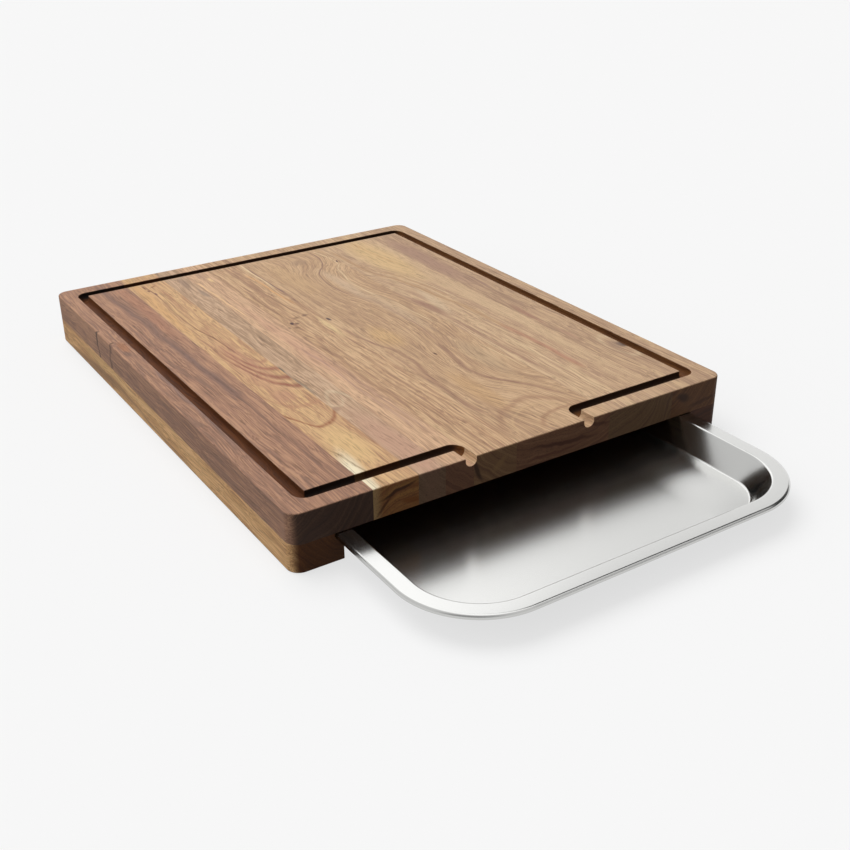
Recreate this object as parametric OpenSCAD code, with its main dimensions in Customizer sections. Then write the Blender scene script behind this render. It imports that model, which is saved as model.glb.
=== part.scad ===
// Cutting board with a pull-out steel tray.
// X runs across the board, Y from the tray's mouth (-Y) to the back (+Y), and Z up from the worktop.
// The origin is on the worktop, in the middle of the outline of the board with its tray part-way out.

/* [Board] */
// Length of the board, from the tray's mouth to the back
board_l = 390; // [300:1:500]
// Thickness of the glued-up cutting panel
panel_t = 19; // [15:0.5:30]
// Height of the rails that carry the panel
rail_h = 18; // [14:0.5:24]
// Width of each side rail
rail_w = 31; // [20:0.5:45]
// Width of the back rail
back_rail_w = 30; // [15:1:60]
// Radius of the board's four upright corners
corner_r = 8; // [4:0.5:20]
// Radius of the rounded-over rim, above and below
rim_ease = 1; // [0.5:0.1:3]

/* [Staves] */
// Width of the first stave, at the left edge
stave_1_w = 49.8; // [40:0.1:70]
// Width of the second stave
stave_2_w = 29.1; // [22:0.1:50]
// Width of the third stave
stave_3_w = 17.8; // [14:0.1:40]
// Width of the fourth stave
stave_4_w = 19.3; // [14:0.1:40]
// Width of the fifth stave
stave_5_w = 30; // [22:0.1:50]
// Width of the sixth stave
stave_6_w = 70.4; // [55:0.1:90]
// Width of the seventh stave
stave_7_w = 51.6; // [40:0.1:70]
// Width of the eighth stave, at the right edge
stave_8_w = 44; // [35:0.1:60]

/* [Juice groove] */
// Width of the groove
groove_w = 7.6; // [5:0.1:8]
// Depth of the groove at its lowest line
groove_d = 5.6; // [5:0.1:9]
// Wood left between the groove and each side of the board
groove_side_margin = 11.3; // [8:0.1:25]
// Wood left between the groove and each end of the board
groove_end_margin = 12.2; // [8:0.1:25]
// Radius on the inside of the groove's turns
groove_turn_r = 0.5; // [0.3:0.1:5]
// Distance of the left spout from the board's middle line
left_spout_x = 42; // [15:0.5:75]
// Distance of the right spout from the board's middle line
right_spout_x = 44; // [15:0.5:75]

/* [Tray] */
// Radius of the corners of the tray's flat floor
floor_corner_r = 28; // [4:0.5:36]
// Height of the turned-down lip at the outside of the rim
lip_h = 2.5; // [2.2:0.1:4]
// Slope of the tray's walls away from upright, in degrees
wall_draft = 35; // [5:1:45]
// Radius of the bend between the tray's floor and its walls, at the upper surface
foot_r = 2; // [1:0.1:4]
// Radius of the bends on both sides of the rim, at the upper surface
bend_r = 1.6; // [1.2:0.1:2]
// Thickness of the steel sheet
sheet_t = 0.8; // [0.6:0.1:1]

/* [Fit] */
// How far the tray stands out of the board
tray_out = 109; // [20:1:200]
// Width of the ledge in each side rail that the rim slides on
ledge_w = 5.2; // [3:0.1:8]
// Gap between the tray's rim and the rail on each side
side_gap = 0.5; // [0.3:0.1:2]
// Gap between the tray's rim and the panel above it
top_gap = 0.6; // [0.3:0.1:2]
// Gap between the tray's lip and the ledge below it
ledge_gap = 0.3; // [0.3:0.1:1]
// Gap between the tray's wall, where it meets the rim, and the rail beside it
wall_gap = 4.7; // [1:0.1:8]
// Gap between the pushed-in tray and the back rail
back_gap = 1; // [0.5:0.5:10]
// Gap between the tray's underside and the worktop
floor_gap = 1.8; // [1:0.1:5]

/* [Hidden] */
$fn = 96;
cut = 1; // how far a cutter passes the surface that it opens
bend_steps = 4; // straight steps in each bend of the tray's sheet

STAVE_WIDTHS = [
    stave_1_w, stave_2_w, stave_3_w, stave_4_w,
    stave_5_w, stave_6_w, stave_7_w, stave_8_w
];
STAVE_COLOURS = ["#8a5f46", "#b98f5c", "#94755a", "#a67a5a", "#a3794f", "#b0875a", "#a98462", "#9c7658"];

// Places along Y: the outline of board and tray together is centred on the origin
board_y = tray_out / 2;
front_y = board_y - board_l / 2;
back_y = board_y + board_l / 2;

// Heights
panel_z = rail_h;
board_h = rail_h + panel_t;
rim_z = rail_h - top_gap;
ledge_z = rim_z - lip_h - ledge_gap;

// Places across X: the staves side by side make up the board's width
board_w = sum(STAVE_WIDTHS, len(STAVE_WIDTHS));
rail_inner_x = board_w / 2 - rail_w;
ledge_wall_x = rail_inner_x + ledge_w;

// The bay between the rails, which the pushed-in tray fills
bay_l = board_l - back_rail_w;
tray_w = 2 * (ledge_wall_x - side_gap);
tray_l = bay_l - back_gap;
tray_rim_w = tray_w / 2 - rail_inner_x + wall_gap;
tray_y = front_y - tray_out + tray_l / 2;

// Groove: the centre line's distance from the board's middle, and its radius in a turn
groove_x = board_w / 2 - groove_side_margin - groove_w / 2;
groove_y = board_l / 2 - groove_end_margin - groove_w / 2;
turn_r = groove_turn_r + groove_w / 2;

// Tray section, from the flat floor out to the rim; the radii are those of its corners in plan
floor_z = floor_gap + sheet_t;
straight_h = rim_z - floor_z - (foot_r + bend_r) * (1 - sin(wall_draft));
rim_inner_r = floor_corner_r + (foot_r + bend_r) * cos(wall_draft) + straight_h * tan(wall_draft);
tray_corner_r = rim_inner_r + tray_rim_w;

function sum(list, count) = count == 0 ? 0 : list[count - 1] + sum(list, count - 1);
function stave_edge(i) = sum(STAVE_WIDTHS, i) - board_w / 2;

// Sweeps a section round a rectangle with round corners. The section's x runs outwards from the
// centre line of the corners, and its y is the height.
module swept_rim(w, l, r) {
    dx = w / 2 - r;
    dy = l / 2 - r;
    for (corner = [[dx, dy, 0], [-dx, dy, 90], [-dx, -dy, 180], [dx, -dy, 270]])
        translate([corner[0], corner[1], 0])
            rotate([0, 0, corner[2]])
                rotate_extrude(angle = 90)
                    children();
    for (turn = [0, 180])
        rotate([0, 0, turn]) {
            translate([dx, dy, 0])
                rotate([90, 0, 0])
                    linear_extrude(2 * dy)
                        children();
            translate([-dx, dy, 0])
                rotate([90, 0, 90])
                    linear_extrude(2 * dx)
                        children();
        }
}

// The flat middle of a swept shape, inside the centre lines of its corners
module swept_middle(w, l, r, z, t) {
    translate([r - w / 2, r - l / 2, z])
        cube([w - 2 * r, l - 2 * r, t]);
}

// A slab of the board's outline, from z = 0 to its thickness, with the upper rim rounded over
module outline_slab(t) {
    swept_rim(board_w, board_l, corner_r)
        difference() {
            square([corner_r, t]);
            translate([corner_r - rim_ease, t - rim_ease])
                difference() {
                    square(rim_ease + cut);
                    circle(rim_ease);
                }
        }
    swept_middle(board_w, board_l, corner_r, 0, t);
}

// Section of the groove's cutter, with its middle on the panel's surface
module groove_section() {
    straight_d = groove_d - groove_w / 2;
    translate([-groove_w / 2, -straight_d])
        square([groove_w, straight_d + cut]);
    translate([0, -straight_d])
        intersection() {
            circle(d = groove_w);
            translate([-groove_w, -groove_w])
                square([2 * groove_w, groove_w]);
        }
}

// Straight stretch of the groove across the board
module groove_across(x0, x1, y) {
    translate([x0, y, 0])
        rotate([90, 0, 90])
            linear_extrude(x1 - x0)
                groove_section();
}

// Straight stretch of the groove along the board
module groove_along(y0, y1, x) {
    translate([x, y1, 0])
        rotate([90, 0, 0])
            linear_extrude(y1 - y0)
                groove_section();
}

// Quarter turn of the groove about a point, from the angle start
module groove_turn(x, y, start) {
    translate([x, y, 0])
        rotate([0, 0, start])
            rotate_extrude(angle = 90)
                translate([turn_r, 0])
                    groove_section();
}

// The juice groove: round three sides and both ends of the front, where it turns out to the spouts
module juice_groove() {
    in_x = groove_x - turn_r;
    in_y = groove_y - turn_r;
    spout_y = -groove_y - turn_r;
    translate([0, board_y, board_h]) {
        groove_along(-in_y, in_y, -groove_x);
        groove_along(-in_y, in_y, groove_x);
        groove_across(-in_x, in_x, groove_y);
        groove_across(-in_x, -left_spout_x - turn_r, -groove_y);
        groove_across(right_spout_x + turn_r, in_x, -groove_y);
        groove_turn(in_x, in_y, 0);
        groove_turn(-in_x, in_y, 90);
        groove_turn(-in_x, -in_y, 180);
        groove_turn(in_x, -in_y, 270);
        groove_turn(-left_spout_x - turn_r, spout_y, 0);
        groove_turn(right_spout_x + turn_r, spout_y, 90);
        groove_along(-board_l / 2 - cut, spout_y, -left_spout_x);
        groove_along(-board_l / 2 - cut, spout_y, right_spout_x);
    }
}

// One stave of the cutting panel, counted from the left
module top_stave(i) {
    color(STAVE_COLOURS[i])
        difference() {
            intersection() {
                translate([0, board_y, panel_z])
                    outline_slab(panel_t);
                translate([stave_edge(i), front_y - cut, panel_z - cut])
                    cube([stave_edge(i + 1) - stave_edge(i), board_l + 2 * cut, panel_t + 2 * cut]);
            }
            juice_groove();
        }
}

// The wood under the panel between two places across and two along, with the worktop rim rounded
module rail_stock(x0, x1, y0, y1) {
    intersection() {
        translate([0, board_y, rail_h])
            mirror([0, 0, 1])
                outline_slab(rail_h);
        translate([x0, y0, -cut])
            cube([x1 - x0, y1 - y0, rail_h + 2 * cut]);
    }
}

// Side rail on the right; the ledge in its upper inner corner carries the tray's rim
module side_rail() {
    difference() {
        rail_stock(rail_inner_x, board_w / 2 + cut, front_y - cut, back_y + cut);
        translate([rail_inner_x - cut, front_y - cut, ledge_z])
            cube([ledge_w + cut, bay_l + cut, rail_h]);
    }
}

module left_rail() {
    color("#a98a5e")
        mirror([1, 0, 0])
            side_rail();
}

module right_rail() {
    color("#8e6a4c")
        side_rail();
}

// Back rail: fills the space between the side rails and stops the tray
module back_rail() {
    color("#94704f")
        rail_stock(-rail_inner_x, rail_inner_x, back_y - back_rail_w, back_y + cut);
}

// Points along an arc between two angles
function arc(centre, r, from, to) =
    [for (i = [0:bend_steps])
        let (angle = from + (to - from) * i / bend_steps)
            centre + r * [cos(angle), sin(angle)]];

// Points from the middle of the floor to the lip, at a depth below the sheet's upper surface
function sheet_path(depth) = concat(
    [[0, floor_z - depth]],
    arc([floor_corner_r, floor_z + foot_r], foot_r + depth, -90, -wall_draft),
    arc([rim_inner_r, rim_z - bend_r], bend_r - depth, 180 - wall_draft, 90),
    arc([tray_corner_r - bend_r, rim_z - bend_r], bend_r - depth, 90, 0),
    [[tray_corner_r - depth, rim_z - lip_h]]
);

function reversed(list) = [for (i = [len(list) - 1:-1:0]) list[i]];

// Steel tray, pressed from one sheet
module steel_tray() {
    color("#c9c9c7")
        translate([0, tray_y, 0]) {
            swept_rim(tray_w, tray_l, tray_corner_r)
                polygon(concat(sheet_path(0), reversed(sheet_path(sheet_t))));
            swept_middle(tray_w, tray_l, tray_corner_r, floor_gap, sheet_t);
        }
}

for (i = [0:len(STAVE_WIDTHS) - 1])
    top_stave(i);
left_rail();
right_rail();
back_rail();
steel_tray();
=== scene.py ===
# %% [markdown]
# # A cutting board with a pull-out steel tray
# The object is a thick board glued up from eight staves, standing on three rails. A pressed steel
# tray slides on ledges in the side rails. A groove round the cutting face catches juice and drains
# it through two spouts in the front edge, down into the tray.
#
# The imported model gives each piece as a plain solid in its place. This file models every piece
# again with finer edges, gives it a finish, and lets it ride on the same moving body. All lengths
# are in metres in Blender, so the sizes below are written in millimetres and multiplied by `MM`.

import math

import bmesh
import bpy
from mathutils import Matrix, Vector


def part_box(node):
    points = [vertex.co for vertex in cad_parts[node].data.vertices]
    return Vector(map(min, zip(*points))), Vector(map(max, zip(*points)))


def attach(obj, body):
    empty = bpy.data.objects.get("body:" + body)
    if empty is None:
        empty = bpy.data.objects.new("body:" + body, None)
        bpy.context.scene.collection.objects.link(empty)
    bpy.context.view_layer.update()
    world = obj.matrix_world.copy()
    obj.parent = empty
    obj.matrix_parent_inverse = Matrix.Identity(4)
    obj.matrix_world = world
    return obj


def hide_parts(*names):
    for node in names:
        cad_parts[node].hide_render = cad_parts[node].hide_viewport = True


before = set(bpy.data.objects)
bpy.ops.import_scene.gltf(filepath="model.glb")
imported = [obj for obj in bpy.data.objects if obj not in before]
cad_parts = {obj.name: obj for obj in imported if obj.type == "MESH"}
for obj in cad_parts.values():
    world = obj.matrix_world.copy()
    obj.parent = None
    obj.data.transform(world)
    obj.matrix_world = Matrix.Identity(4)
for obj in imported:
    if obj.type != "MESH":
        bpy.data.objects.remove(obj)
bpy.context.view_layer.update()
MM = 0.001
print("solids:", sorted(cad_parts))

# %% [markdown]
# ## The sizes that every piece shares
# A piece that fits another takes its sizes from the same place. Here that place is the packed
# solids: the box round a solid gives the board's outline, the height of the glue line between
# panel and rails, and the tray's length.

# %% Read the sizes from the solids
left_rail_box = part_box("left_rail")
right_rail_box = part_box("right_rail")
back_rail_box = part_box("back_rail")
tray_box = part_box("steel_tray")
first_stave_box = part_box("top_stave_1")

BOARD_X = right_rail_box[1].x
FRONT_Y = left_rail_box[0].y
BACK_Y = left_rail_box[1].y
MIDDLE_Y = (FRONT_Y + BACK_Y) / 2
GLUE_Z = left_rail_box[1].z
TOP_Z = first_stave_box[1].z
BAY_X = right_rail_box[0].x
BAY_Y = back_rail_box[0].y
STAVES = [f"top_stave_{i}" for i in range(1, 9)]
print("board, mm:", [round(v / MM, 1) for v in (2 * BOARD_X, BACK_Y - FRONT_Y, TOP_Z)])

# %% [markdown]
# ## The camera
# A product photo like this is taken from above one corner with a slightly long lens. The place is
# given as a point that the camera looks at, two angles and a distance, because those are easy to
# picture and to change. A small roll levels the horizon.

# %% Place the camera
LOOK_AT = Vector((-2.74, MIDDLE_Y / MM - 86.97, 0)) * MM
AZIMUTH, ELEVATION, ROLL = (math.radians(a) for a in (-32.98, 27.24, -0.39))
DISTANCE = 757.91 * MM
SENSOR_MM = 36
LENS_MM = 48.53

camera_data = bpy.data.cameras.new("camera")
camera_data.sensor_width = SENSOR_MM
camera_data.lens = LENS_MM
camera = bpy.data.objects.new("camera", camera_data)
bpy.context.scene.collection.objects.link(camera)
back = Vector((
    math.sin(AZIMUTH) * math.cos(ELEVATION),
    -math.cos(AZIMUTH) * math.cos(ELEVATION),
    math.sin(ELEVATION),
))
level = Vector((0, 0, 1)).cross(back).normalized()
upright = back.cross(level)
right = level * math.cos(ROLL) + upright * math.sin(ROLL)
up = upright * math.cos(ROLL) - level * math.sin(ROLL)
turn = Matrix((right, up, back)).transposed().to_4x4()
camera.matrix_world = Matrix.Translation(LOOK_AT + back * DISTANCE) @ turn
bpy.context.scene.camera = camera
print("camera at, mm:", [round(v / MM) for v in camera.matrix_world.translation])

# %% [markdown]
# ## Helpers for modelling by hand
# Modelling in the viewport is a chain of the same few moves: add a primitive, go into edit mode,
# select something, run an operator on it. In a script the selection is made by a test on each
# face or edge, such as "points up and lies at this height". Everything is deselected first,
# because operators act on all that is selected.

# %% Add a block and select parts of it
TOLERANCE = 0.01 * MM


def near(a, b):
    """True for two lengths that are the same, apart from rounding."""
    return abs(a - b) < TOLERANCE


def add_block(name, low, high):
    """A box between two corners, with its place in its mesh."""
    bpy.ops.object.select_all(action="DESELECT")
    low, high = Vector(low), Vector(high)
    bpy.ops.mesh.primitive_cube_add(size=1, location=(low + high) / 2, scale=high - low)
    block = bpy.context.object
    block.name = block.data.name = name
    bpy.ops.object.transform_apply(location=True, rotation=True, scale=True)
    return block


def pick(piece):
    """Selects one piece, and nothing else, and makes it the active one."""
    bpy.ops.object.select_all(action="DESELECT")
    bpy.context.view_layer.objects.active = piece
    piece.select_set(True)


def edit(piece):
    """Goes into edit mode on one piece."""
    pick(piece)
    bpy.ops.object.mode_set(mode="EDIT")


def select_only(kind, test):
    """In edit mode, selects the vertices, edges or faces that pass a test, and counts them."""
    bpy.ops.mesh.select_mode(type=kind)
    bpy.ops.mesh.select_all(action="DESELECT")
    mesh = bmesh.from_edit_mesh(bpy.context.object.data)
    items = {"VERT": mesh.verts, "EDGE": mesh.edges, "FACE": mesh.faces}[kind]
    mesh.normal_update()
    chosen = [item for item in items if test(item)]
    for item in chosen:
        item.select_set(True)
    mesh.select_flush_mode()
    bmesh.update_edit_mesh(bpy.context.object.data)
    return len(chosen)


print("tolerance, mm:", TOLERANCE / MM)


# %% Finish a piece and cut it along glue lines
def apply_modifier(piece, kind, **settings):
    """Adds a modifier and applies it to the mesh."""
    pick(piece)
    modifier = piece.modifiers.new(kind.lower(), kind)
    for key, value in settings.items():
        setattr(modifier, key, value)
    bpy.ops.object.modifier_apply(modifier=modifier.name)


def smooth(piece, degrees=40):
    """Smooth shading, with flat faces kept flat next to rounded edges."""
    pick(piece)
    bpy.ops.object.shade_smooth_by_angle(angle=math.radians(degrees))
    apply_modifier(piece, "WEIGHTED_NORMAL", keep_sharp=True, weight=100)


def slice_of(slab, name, low_x, high_x):
    """A copy of a slab that keeps what lies between two glue lines. None keeps that side whole."""
    piece = slab.copy()
    piece.data = slab.data.copy()
    piece.name = piece.data.name = name
    bpy.context.scene.collection.objects.link(piece)
    edit(piece)
    for x, cut_away in ((low_x, "clear_inner"), (high_x, "clear_outer")):
        if x is not None:
            bpy.ops.mesh.select_all(action="SELECT")
            bpy.ops.mesh.bisect(
                plane_co=(x, 0, 0), plane_no=(1, 0, 0), use_fill=True, **{cut_away: True}
            )
    bpy.ops.object.mode_set(mode="OBJECT")
    smooth(piece)
    return piece


def faces_of(piece):
    """A line for the log: the piece's name and the number of its faces."""
    return f"{piece.name}: {len(piece.data.polygons)} faces"


print("helpers ready")

# %% [markdown]
# ## The board's outline
# The panel and the rails are sanded together after gluing, so they share one outline: a rectangle
# with round upright corners, and a soft edge along the top and the bottom. One block is shaped for
# the panel and one for the wood below the glue line. Bevel on the four upright edges gives the
# corners, and bevel on the rim the soft edge.

# %% Shape a slab with the board's outline
CORNER_R = 8 * MM
EDGE_R = 1 * MM


def outline_slab(name, z0, z1, rim_z):
    """A slab with round upright corners and one softened rim, at height rim_z."""
    slab = add_block(name, (-BOARD_X, FRONT_Y, z0), (BOARD_X, BACK_Y, z1))
    edit(slab)
    select_only("EDGE", lambda e: not near(e.verts[0].co.z, e.verts[1].co.z))
    bpy.ops.mesh.bevel(offset=CORNER_R, segments=14, affect="EDGES")
    select_only("EDGE", lambda e: all(near(v.co.z, rim_z) for v in e.verts))
    bpy.ops.mesh.bevel(offset=EDGE_R, segments=4, affect="EDGES")
    bpy.ops.object.mode_set(mode="OBJECT")
    return slab


panel = outline_slab("panel", GLUE_Z, TOP_Z, TOP_Z)
print(faces_of(panel))

# %% [markdown]
# ## The juice groove
# A router with a round-nosed cutter leaves a channel with upright sides and a round bottom. The
# cutter is modelled as the router moves: a round section is placed in front of one spout, pushed
# along the straight runs and spun round the turns, until it leaves through the other spout. Its
# upper half is lifted clear of the cutting face, which gives the upright sides. The boolean
# modifier then takes it out of the panel.

# %% Sweep the groove's cutter
GROOVE_W = 7.6 * MM
GROOVE_D = 5.6 * MM
SIDE_MARGIN = 11.3 * MM
END_MARGIN = 12.2 * MM
INNER_R = 0.5 * MM
LEFT_SPOUT_X = -42 * MM
RIGHT_SPOUT_X = 44 * MM
RUN_OUT = 2 * MM
LIFT = 4 * MM

TURN_R = INNER_R + GROOVE_W / 2
RUN_X = BOARD_X - SIDE_MARGIN - GROOVE_W / 2
RUN_Y = (BACK_Y - FRONT_Y) / 2 - END_MARGIN - GROOVE_W / 2
CUTTER_Z = TOP_Z - GROOVE_D + GROOVE_W / 2
SPOUT_Y = MIDDLE_Y - RUN_Y - TURN_R


def push(x, y):
    """Pushes the selected section along a straight run."""
    bpy.ops.mesh.extrude_region_move(TRANSFORM_OT_translate={"value": (x, y, 0)})


def spin(degrees, x, y):
    """Spins the selected section round an upright line. Positive turns to the left."""
    bpy.ops.mesh.spin(steps=8, angle=math.radians(-degrees), center=(x, y, 0), axis=(0, 0, 1))


bpy.ops.object.select_all(action="DESELECT")
bpy.ops.mesh.primitive_circle_add(
    vertices=48,
    radius=GROOVE_W / 2,
    fill_type="NGON",
    location=(LEFT_SPOUT_X, FRONT_Y - RUN_OUT, CUTTER_Z),
    rotation=(math.radians(90), 0, 0),
)
cutter = bpy.context.object
cutter.name = cutter.data.name = "groove_cutter"
bpy.ops.object.transform_apply(location=True, rotation=True, scale=True)
edit(cutter)
select_only("VERT", lambda v: v.co.z > CUTTER_Z - TOLERANCE)
bpy.ops.transform.translate(value=(0, 0, LIFT))
select_only("FACE", lambda f: True)
push(0, SPOUT_Y - (FRONT_Y - RUN_OUT))
spin(90, LEFT_SPOUT_X - TURN_R, SPOUT_Y)
push(-RUN_X + TURN_R - (LEFT_SPOUT_X - TURN_R), 0)
spin(-90, -RUN_X + TURN_R, MIDDLE_Y - RUN_Y + TURN_R)
push(0, 2 * (RUN_Y - TURN_R))
spin(-90, -RUN_X + TURN_R, MIDDLE_Y + RUN_Y - TURN_R)
push(2 * (RUN_X - TURN_R), 0)
spin(-90, RUN_X - TURN_R, MIDDLE_Y + RUN_Y - TURN_R)
push(0, -2 * (RUN_Y - TURN_R))
spin(-90, RUN_X - TURN_R, MIDDLE_Y - RUN_Y + TURN_R)
push(RIGHT_SPOUT_X + TURN_R - (RUN_X - TURN_R), 0)
spin(90, RIGHT_SPOUT_X + TURN_R, SPOUT_Y)
push(0, FRONT_Y - RUN_OUT - SPOUT_Y)
bpy.ops.mesh.select_all(action="SELECT")
bpy.ops.mesh.remove_doubles(threshold=0.001 * MM)
bpy.ops.mesh.normals_make_consistent(inside=False)
bpy.ops.object.mode_set(mode="OBJECT")
print(faces_of(cutter))

# %% Cut the groove and soften its upper edges
LIP_R = 0.35 * MM

apply_modifier(panel, "BOOLEAN", object=cutter, operation="DIFFERENCE", solver="EXACT")
bpy.data.objects.remove(cutter)


def on_groove_lip(edge):
    """True for an edge between the cutting face and the groove's upright side."""
    if not all(near(v.co.z, TOP_Z) for v in edge.verts) or len(edge.link_faces) != 2:
        return False
    return edge.calc_face_angle(0) > math.radians(60)


edit(panel)
lip_edges = select_only("EDGE", on_groove_lip)
bpy.ops.mesh.bevel(offset=LIP_R, segments=2, affect="EDGES")
bpy.ops.object.mode_set(mode="OBJECT")
print(faces_of(panel), "after softening", lip_edges, "edges")

# %% [markdown]
# ## Eight staves
# On the real board the staves are glued first and routed together, so the groove runs through the
# glue lines without a step. The model does the same in reverse: the finished panel is copied once
# for each stave, and two bisect cuts keep only the slice between its glue lines. The first and
# the last stave keep the board's outer side, so they are cut only once.

# %% Slice the panel into staves
staves = []
for name in STAVES:
    low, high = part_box(name)
    stave = slice_of(
        panel,
        name.replace("top_stave", "oiled_stave"),
        None if near(low.x, -BOARD_X) else low.x,
        None if near(high.x, BOARD_X) else high.x,
    )
    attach(stave, "board")
    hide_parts(name)
    staves.append(stave)
    print(faces_of(stave), "width, mm:", round((high.x - low.x) / MM, 1))
bpy.data.objects.remove(panel)

# %% [markdown]
# ## Three rails
# The rails make a shallow bay that is open at the front and below. Each side rail has a step in
# its upper inner corner, and the tray's rim slides on it. The under-slab gets the same outline as
# the panel, the bay is taken out of it with two blocks, and bisect parts the three rails along
# their glue lines. The blocks reach past the wood, so that the cuts leave no thin skin.

# %% Cut the bay and part the rails
LEDGE_Z = 14.6 * MM
LEDGE_X = BAY_X + 5.2 * MM
PAST = 5 * MM

under = outline_slab("under", 0, GLUE_Z, 0)
bay_back = (BAY_X, BAY_Y, GLUE_Z + PAST)
ledge_back = (LEDGE_X, BAY_Y, GLUE_Z + PAST)
bay_cutter = add_block("bay", (-BAY_X, FRONT_Y - PAST, -PAST), bay_back)
ledge_cutter = add_block("ledge", (-LEDGE_X, FRONT_Y - PAST, LEDGE_Z), ledge_back)
for block in (bay_cutter, ledge_cutter):
    apply_modifier(under, "BOOLEAN", object=block, operation="DIFFERENCE", solver="EXACT")
    bpy.data.objects.remove(block)

rails = []
for name, low_x, high_x in (
    ("left_rail", None, -BAY_X),
    ("right_rail", BAY_X, None),
    ("back_rail", -BAY_X, BAY_X),
):
    rail = slice_of(under, name.replace("rail", "wooden_rail"), low_x, high_x)
    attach(rail, "board")
    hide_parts(name)
    rails.append(rail)
    print(faces_of(rail))
bpy.data.objects.remove(under)

# %% [markdown]
# ## The pressed tray
# The tray is one sheet, drawn in a press: a flat floor, straight walls that lean out, a flat rim
# and a short lip turned down round it. It starts as a flat plane with round corners at the lip's
# lower edge. Each step of the profile is an inset with a depth, so the rings stay parallel all the
# way round, and Solidify gives the sheet its thickness at the end. The bends are small, because a
# mirror-like sheet shows the size of each bend as the width of a highlight.
#
# The profile is a list of points, each with its distance from the centre of a rounded corner and
# its height. It runs from the lip over the rim and down the wall to the floor.

# %% Work out the tray's profile
TRAY_X = tray_box[1].x
TRAY_Y0, TRAY_Y1 = tray_box[0].y, tray_box[1].y
RIM_Z = tray_box[1].z
SHEET_T = 0.8 * MM
FLOOR_Z = tray_box[0].z + SHEET_T
LIP_H = 2.5 * MM
BEND_R = 1.6 * MM
FOOT_R = 2 * MM
DRAFT_DEGREES = 35
DRAFT = math.radians(DRAFT_DEGREES)
FLOOR_R = 28 * MM
RIM_INSIDE_BAY = 4.7 * MM
STRAIGHT_H = RIM_Z - FLOOR_Z - (FOOT_R + BEND_R) * (1 - math.sin(DRAFT))
RIM_R = FLOOR_R + (FOOT_R + BEND_R) * math.cos(DRAFT) + STRAIGHT_H * math.tan(DRAFT)
OUTER_R = RIM_R + TRAY_X - BAY_X + RIM_INSIDE_BAY


def arc(r, height, radius, start, end, steps):
    """The points of an arc of the profile, round (r, height). Both its ends are among them."""
    points = []
    for i in range(steps + 1):
        a = math.radians(start + (end - start) * i / steps)
        points.append((r + radius * math.cos(a), height + radius * math.sin(a)))
    return points


profile = [(OUTER_R, RIM_Z - LIP_H)]
profile += arc(OUTER_R - BEND_R, RIM_Z - BEND_R, BEND_R, 0, 90, 6)
profile += arc(RIM_R, RIM_Z - BEND_R, BEND_R, 90, 180 - DRAFT_DEGREES, 5)
profile += arc(FLOOR_R, FLOOR_Z + FOOT_R, FOOT_R, -DRAFT_DEGREES, -90, 6)
print("tray profile:", len(profile), "rings, wall, mm:", round((RIM_R - FLOOR_R) / MM, 1))

# %% Draw the tray from a plane
bpy.ops.object.select_all(action="DESELECT")
bpy.ops.mesh.primitive_plane_add(size=1, location=(0, (TRAY_Y0 + TRAY_Y1) / 2, profile[0][1]))
tray = bpy.context.object
tray.name = tray.data.name = "pressed_tray"
tray.scale = (2 * TRAY_X, TRAY_Y1 - TRAY_Y0, 1)
bpy.ops.object.transform_apply(location=True, rotation=True, scale=True)
edit(tray)
select_only("VERT", lambda v: True)
bpy.ops.mesh.bevel(offset=OUTER_R, segments=28, affect="VERTICES")
select_only("FACE", lambda f: True)
for (r0, z0), (r1, z1) in zip(profile, profile[1:]):
    if near(r0, r1):
        bpy.ops.mesh.extrude_region_move(TRANSFORM_OT_translate={"value": (0, 0, z1 - z0)})
    else:
        bpy.ops.mesh.inset(thickness=r0 - r1, depth=z1 - z0, use_even_offset=True)
bpy.ops.object.mode_set(mode="OBJECT")
print(faces_of(tray), "size, mm:", [round(v / MM, 2) for v in tray.dimensions])

# %% [markdown]
# The first extrude of a lone face leaves that face behind as a lid on the underside. The lid is
# deleted before Solidify runs, because a sheet is open below.

# %% Give the sheet its thickness
edit(tray)
lids = select_only("FACE", lambda f: f.normal.z < -0.5)
bpy.ops.mesh.delete(type="FACE")
bpy.ops.object.mode_set(mode="OBJECT")
apply_modifier(tray, "SOLIDIFY", thickness=SHEET_T, offset=-1, use_even_offset=True)
smooth(tray, 50)
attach(tray, "tray")
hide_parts("steel_tray")
print(faces_of(tray), "lids deleted:", lids)

# %% [markdown]
# ## Helpers for materials
# Every finish is built from nodes. One function adds a node, with its settings and what goes into
# its sockets: a number, a colour, or another node. Colours are written as hex values, the way a
# colour picker shows them, and turned into the linear values that the renderer adds and
# multiplies. `SOFT` makes a Map Range node ease in and out instead of starting with a corner.

# %% Colours and nodes
SOFT = {"interpolation_type": "SMOOTHSTEP"}


def linear(colour):
    """'#c8a06e' as linear red, green, blue and alpha."""
    values = []
    for i in (1, 3, 5):
        c = int(colour[i : i + 2], 16) / 255
        values.append(c / 12.92 if c <= 0.04045 else ((c + 0.055) / 1.055) ** 2.4)
    return (*values, 1.0)


def feed(node, inputs):
    """Gives sockets, by name or number, a number, a colour, another node's output, or another
    node, which stands for its first output in use."""
    for key, value in inputs.items():
        if isinstance(value, bpy.types.Node):
            value = next(output for output in value.outputs if output.enabled)
        if isinstance(value, bpy.types.NodeSocket):
            node.id_data.links.new(value, node.inputs[key])
        else:
            node.inputs[key].default_value = linear(value) if isinstance(value, str) else value


def add(tree, kind, inputs=None, **settings):
    """Adds a node, with its settings and what goes into its sockets."""
    node = tree.nodes.new("ShaderNode" + kind)
    for key, value in settings.items():
        setattr(node, key, value)
    feed(node, inputs or {})
    return node


def start_material(name):
    """An empty material, its node tree and its surface shader."""
    material = bpy.data.materials.new(name)
    material.use_nodes = True
    tree = material.node_tree
    tree.nodes.clear()
    shader = add(tree, "BsdfPrincipled")
    add(tree, "OutputMaterial", {"Surface": shader})
    return material, tree, shader


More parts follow.
